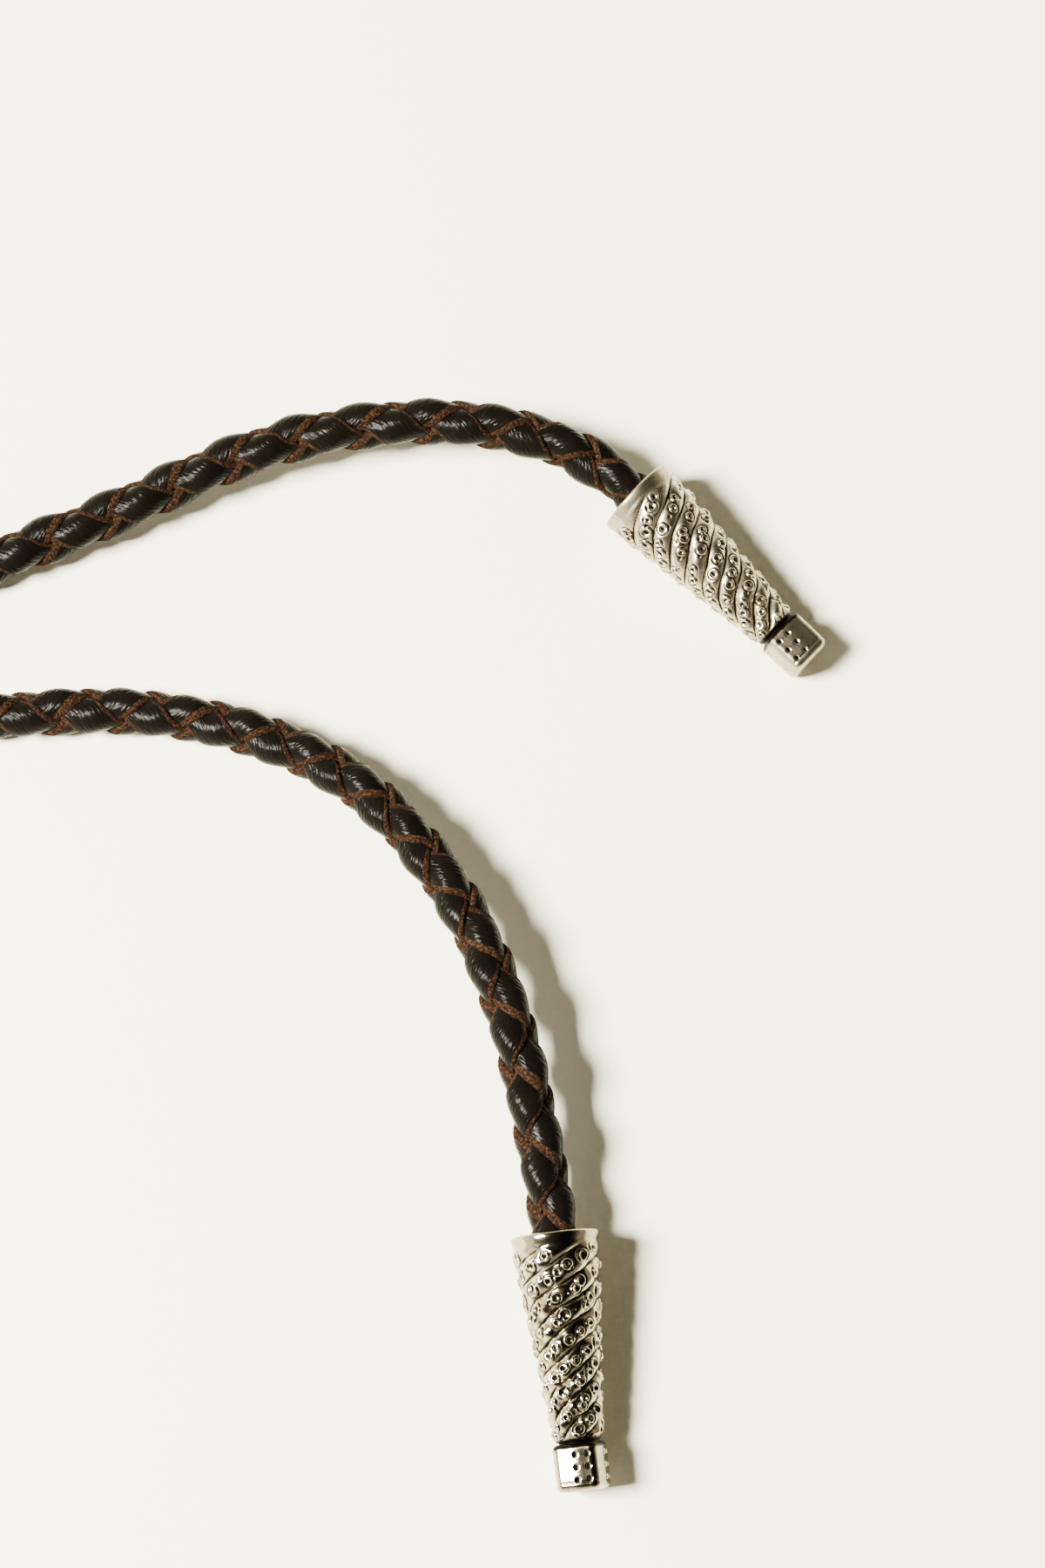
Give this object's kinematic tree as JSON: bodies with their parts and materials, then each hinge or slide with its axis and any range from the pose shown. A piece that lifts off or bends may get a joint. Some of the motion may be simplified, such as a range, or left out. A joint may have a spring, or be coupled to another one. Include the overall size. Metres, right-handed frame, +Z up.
{
  "type": "bolo tie",
  "caption": "Bolo tie laid flat: braided leather cord with cast, twist-ribbed metal tips, drawn through a plain domed oval slide.",
  "frame": {"origin": "middle of the slide's flat back, on the surface that the tie lies on", "axes": "+Z up off the surface, +X from the neck loop towards the tips"},
  "size_m": [0.3571, 0.1417, 0.0133],
  "materials": {
    "braided_leather": "dark brown leather laces, waxed on the grain side, with raw red-brown cut edges, braided round",
    "antiqued_silver": "cast silver-tone alloy, blackened in its recesses and polished on its high spots",
    "polished_silver": "cast silver-tone alloy with a plain, lightly worn polish"
  },
  "bodies": {
    "root": {"braided_cord": "braided_leather", "tip_upper": "antiqued_silver", "tip_lower": "antiqued_silver", "slide": "polished_silver"}
  },
  "joints": []
}
